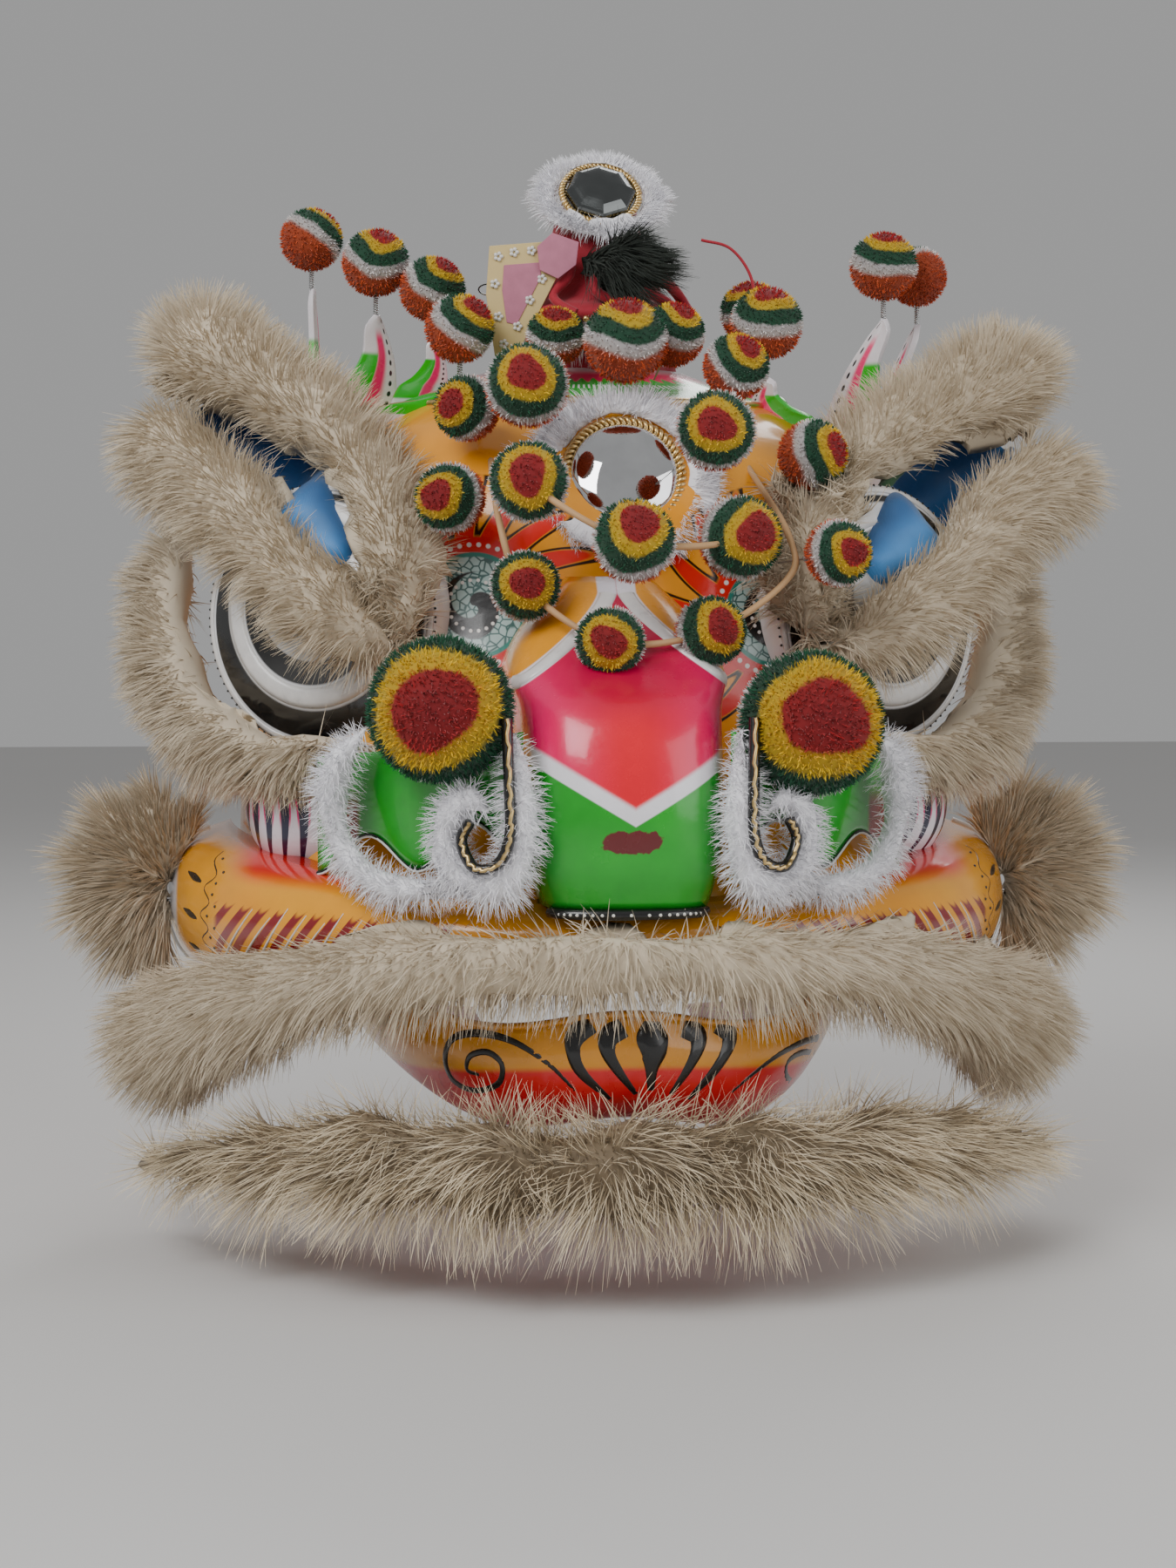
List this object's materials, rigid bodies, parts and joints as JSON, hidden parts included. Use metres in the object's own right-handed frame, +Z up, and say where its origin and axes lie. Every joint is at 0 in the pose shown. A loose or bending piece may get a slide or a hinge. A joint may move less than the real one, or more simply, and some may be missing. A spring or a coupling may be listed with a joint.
{
  "type": "lion dance head",
  "caption": "Lion dance head of painted papier-mache with a hinged lower jaw, fur trim, cloth ears, domed eyes, a horn with a mirror and wool pompoms on springs and rattan hoops",
  "frame": {"origin": "Middle of the grip bar, which the dancer holds and on which the jaw turns", "axes": "X to the viewer's right along the grip bar, Y to the back of the head, the face looks along -Y, Z up"},
  "size_m": [0.7482, 0.61, 0.7273],
  "materials": {
    "papier": "gloss lacquered papier-mache, painted orange with patterns",
    "papier_yellow": "gloss lacquered papier-mache, painted yellow with patterns",
    "nose_paint": "gloss lacquered papier-mache, painted green",
    "eye_paint": "gloss lacquered papier-mache, painted white and black",
    "gill_paint": "gloss lacquered papier-mache, painted in white and navy stripes",
    "ear_cloth": "blue cloth over a wire frame",
    "beige_fur": "long beige fur",
    "white_fur": "short white fur",
    "black_hair": "black feathery hair",
    "mirror_glass": "domed mirror",
    "horn_cloth": "red cloth",
    "card": "printed gold-brown card",
    "fin_paint": "gloss painted card",
    "pompom_pile": "dense wool pile in rings of colour",
    "rattan": "peeled rattan",
    "bamboo": "plain bamboo"
  },
  "bodies": {
    "head": {"head_shell": "papier", "upper_jaw": "papier_yellow", "nose": "nose_paint", "nostril_left": "nose_paint", "nostril_right": "nose_paint", "nostril_fur_left": "white_fur", "nostril_fur_right": "white_fur", "eye_left": "eye_paint", "eye_right": "eye_paint", "eye_fur_left": "beige_fur", "eye_fur_right": "beige_fur", "ear_left": "ear_cloth", "ear_right": "ear_cloth", "ear_fur_left": "beige_fur", "ear_fur_right": "beige_fur", "gill_left": "gill_paint", "gill_right": "gill_paint", "cheek_tuft_left": "beige_fur", "cheek_tuft_right": "beige_fur", "lip_fur": "beige_fur", "horn": "horn_cloth", "horn_mirror": "mirror_glass", "horn_fur": "white_fur", "horn_hair": "black_hair", "tag": "card", "forehead_mirror": "mirror_glass", "mirror_fur": "white_fur", "outer_hoop": "rattan", "inner_hoop": "rattan", "grip_bar": "bamboo", "big_pompom_1": "pompom_pile", "big_pompom_2": "pompom_pile", "pompom_1": "pompom_pile", "pompom_2": "pompom_pile", "pompom_3": "pompom_pile", "pompom_4": "pompom_pile", "pompom_5": "pompom_pile", "pompom_6": "pompom_pile", "pompom_7": "pompom_pile", "pompom_8": "pompom_pile", "pompom_9": "pompom_pile", "pompom_10": "pompom_pile", "pompom_11": "pompom_pile", "pompom_12": "pompom_pile", "pompom_13": "pompom_pile", "pompom_14": "pompom_pile", "pompom_15": "pompom_pile", "pompom_16": "pompom_pile", "pompom_17": "pompom_pile", "pompom_18": "pompom_pile", "fin_1": "fin_paint", "fin_2": "fin_paint", "fin_3": "fin_paint", "fin_4": "fin_paint", "fin_5": "fin_paint", "fin_6": "fin_paint", "fin_7": "fin_paint", "fin_8": "fin_paint"},
    "jaw": {"jaw": "papier_yellow", "beard": "beige_fur"}
  },
  "joints": [
    {"name": "jaw_hinge", "type": "hinge", "parent": "head", "child": "jaw", "pos_m": [0, 0, 0], "axis": [1, 0, 0], "range_deg": [0, 28], "stiffness_Nm_per_rad": 2, "springref_deg": -34.38}
  ]
}
